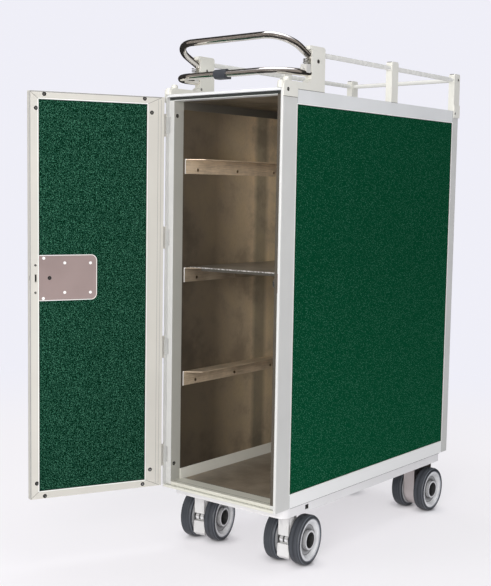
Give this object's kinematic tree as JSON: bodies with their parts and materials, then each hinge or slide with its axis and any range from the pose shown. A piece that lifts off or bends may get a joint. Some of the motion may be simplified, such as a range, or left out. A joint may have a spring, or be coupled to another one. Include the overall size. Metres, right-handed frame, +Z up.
{
  "type": "enclosed meal tray cart",
  "caption": "Narrow insulated meal tray cart with a side-hinged door, tray ledges, top guard rail, two push bows and twin-wheel casters.",
  "frame": {"origin": "on the floor under the centre of the whole outline, with the door open as it stands at rest", "axes": "+Z up, -Y out of the cabinet's front, +X to the right of someone who faces the front"},
  "size_m": [0.4332, 1.0046, 1.0818],
  "materials": {
    "frame_paint": "satin off-white anodised or coated aluminium profile",
    "green_laminate": "dark green fine-textured laminate",
    "deck_sheet": "plain light grey coated sheet",
    "brushed_steel": "brushed stainless sheet",
    "fastener": "dull steel",
    "casting": "smooth white coated casting",
    "satin_rail": "satin steel rod",
    "polished_steel": "polished tube",
    "bright_steel": "bright plated",
    "dark_plastic": "moulded dark grey",
    "wheel_hub": "moulded light grey",
    "tyre": "dark blue-grey tread"
  },
  "bodies": {
    "root": {"left_front_post": "frame_paint", "right_front_post": "frame_paint", "rear_posts": "frame_paint", "frame_rails": "frame_paint", "front_header": "frame_paint", "front_sill": "frame_paint", "left_side_panel": "green_laminate", "right_side_panel": "green_laminate", "rear_panel": "green_laminate", "top_deck": "deck_sheet", "floor_pan": "brushed_steel", "inner_liner": "brushed_steel", "chassis_tray": "deck_sheet", "left_ledges": "brushed_steel", "right_ledges": "brushed_steel", "ledge_screws": "fastener", "cabinet_knuckles": "fastener", "hinge_pins": "fastener", "strike_plate": "brushed_steel", "right_corner_bracket": "casting", "left_corner_bracket": "casting", "guard_posts": "casting", "guard_rails": "satin_rail", "lower_bow": "polished_steel", "bow_pivot_pins": "bright_steel", "spring_seats": "dark_plastic", "bow_springs": "bright_steel", "bow_clip": "dark_plastic", "rear_caster_brackets": "brushed_steel", "rear_axles": "bright_steel"},
    "door": {"door_frame": "frame_paint", "door_panel": "green_laminate", "door_hinge_profile": "frame_paint", "lock_plate": "brushed_steel", "lock_rivets": "fastener"},
    "handle": {"latch_handle": "dark_plastic", "latch_spindle": "dark_plastic"},
    "bolt": {"latch_bolt": "fastener"},
    "upper_bow": {"upper_bow": "polished_steel"},
    "shelf": {"shelf": "brushed_steel"},
    "front_left_caster": {"front_left_caster_leg": "casting", "front_left_axle": "bright_steel"},
    "front_right_caster": {"front_right_caster_leg": "casting", "front_right_axle": "bright_steel"},
    "front_left_left_wheel": {"front_left_left_wheel_hub": "wheel_hub", "front_left_left_wheel_tyre": "tyre"},
    "front_left_right_wheel": {"front_left_right_wheel_hub": "wheel_hub", "front_left_right_wheel_tyre": "tyre"},
    "rear_left_left_wheel": {"rear_left_left_wheel_hub": "wheel_hub", "rear_left_left_wheel_tyre": "tyre"},
    "rear_left_right_wheel": {"rear_left_right_wheel_hub": "wheel_hub", "rear_left_right_wheel_tyre": "tyre"},
    "front_right_left_wheel": {"front_right_left_wheel_hub": "wheel_hub", "front_right_left_wheel_tyre": "tyre"},
    "front_right_right_wheel": {"front_right_right_wheel_hub": "wheel_hub", "front_right_right_wheel_tyre": "tyre"},
    "rear_right_left_wheel": {"rear_right_left_wheel_hub": "wheel_hub", "rear_right_left_wheel_tyre": "tyre"},
    "rear_right_right_wheel": {"rear_right_right_wheel_hub": "wheel_hub", "rear_right_right_wheel_tyre": "tyre"}
  },
  "joints": [
    {"name": "door_hinge", "type": "hinge", "parent": "root", "child": "door", "pos_m": [-0.09179, -0.2294, 0.553], "axis": [0, 0, 1], "range_deg": [-90, 114.4]},
    {"name": "handle_turn", "type": "hinge", "parent": "door", "child": "handle", "pos_m": [-0.19326, -0.46207, 0.594], "axis": [0.9107, -0.4131, 0], "range_deg": [0, 90]},
    {"name": "bolt_slide", "type": "slide", "parent": "door", "child": "bolt", "axis": [-0.4131, -0.9107, 0], "range_m": [0, 0.005]},
    {"name": "bow_press", "type": "hinge", "parent": "root", "child": "upper_bow", "pos_m": [0.05822, -0.1087, 1.03], "axis": [1, 0, 0], "range_deg": [0, 6], "stiffness_Nm_per_rad": 8, "springref_deg": -11.46, "deforming": ["bow_springs"]},
    {"name": "shelf_slide", "type": "slide", "parent": "root", "child": "shelf", "axis": [0, 1, 0], "range_m": [-0.45, 0]},
    {"name": "front_left_swivel", "type": "hinge", "parent": "root", "child": "front_left_caster", "pos_m": [-0.05579, -0.1327, 0.1134], "axis": [0, 0, 1], "continuous": true},
    {"name": "front_left_left_wheel_spin", "type": "hinge", "parent": "front_left_caster", "child": "front_left_left_wheel", "pos_m": [-0.06056, -0.10562, 0.052], "axis": [0.9848, 0.1736, 0], "continuous": true},
    {"name": "front_left_right_wheel_spin", "type": "hinge", "parent": "front_left_caster", "child": "front_left_right_wheel", "pos_m": [-0.06056, -0.10562, 0.052], "axis": [0.9848, 0.1736, 0], "continuous": true},
    {"name": "rear_left_left_wheel_spin", "type": "hinge", "parent": "root", "child": "rear_left_left_wheel", "pos_m": [-0.05579, 0.42229, 0.052], "axis": [1, 0, 0], "continuous": true},
    {"name": "rear_left_right_wheel_spin", "type": "hinge", "parent": "root", "child": "rear_left_right_wheel", "pos_m": [-0.05579, 0.42229, 0.052], "axis": [1, 0, 0], "continuous": true},
    {"name": "front_right_swivel", "type": "hinge", "parent": "root", "child": "front_right_caster", "pos_m": [0.17222, -0.1327, 0.1134], "axis": [0, 0, 1], "continuous": true},
    {"name": "front_right_left_wheel_spin", "type": "hinge", "parent": "front_right_caster", "child": "front_right_left_wheel", "pos_m": [0.16934, -0.10536, 0.052], "axis": [0.9945, 0.1045, 0], "continuous": true},
    {"name": "front_right_right_wheel_spin", "type": "hinge", "parent": "front_right_caster", "child": "front_right_right_wheel", "pos_m": [0.16934, -0.10536, 0.052], "axis": [0.9945, 0.1045, 0], "continuous": true},
    {"name": "rear_right_left_wheel_spin", "type": "hinge", "parent": "root", "child": "rear_right_left_wheel", "pos_m": [0.17222, 0.42229, 0.052], "axis": [1, 0, 0], "continuous": true},
    {"name": "rear_right_right_wheel_spin", "type": "hinge", "parent": "root", "child": "rear_right_right_wheel", "pos_m": [0.17222, 0.42229, 0.052], "axis": [1, 0, 0], "continuous": true}
  ],
  "couplings": [
    {"joint": "bolt_slide", "follows": "handle_turn", "m_per_rad": 0.0031815}
  ]
}
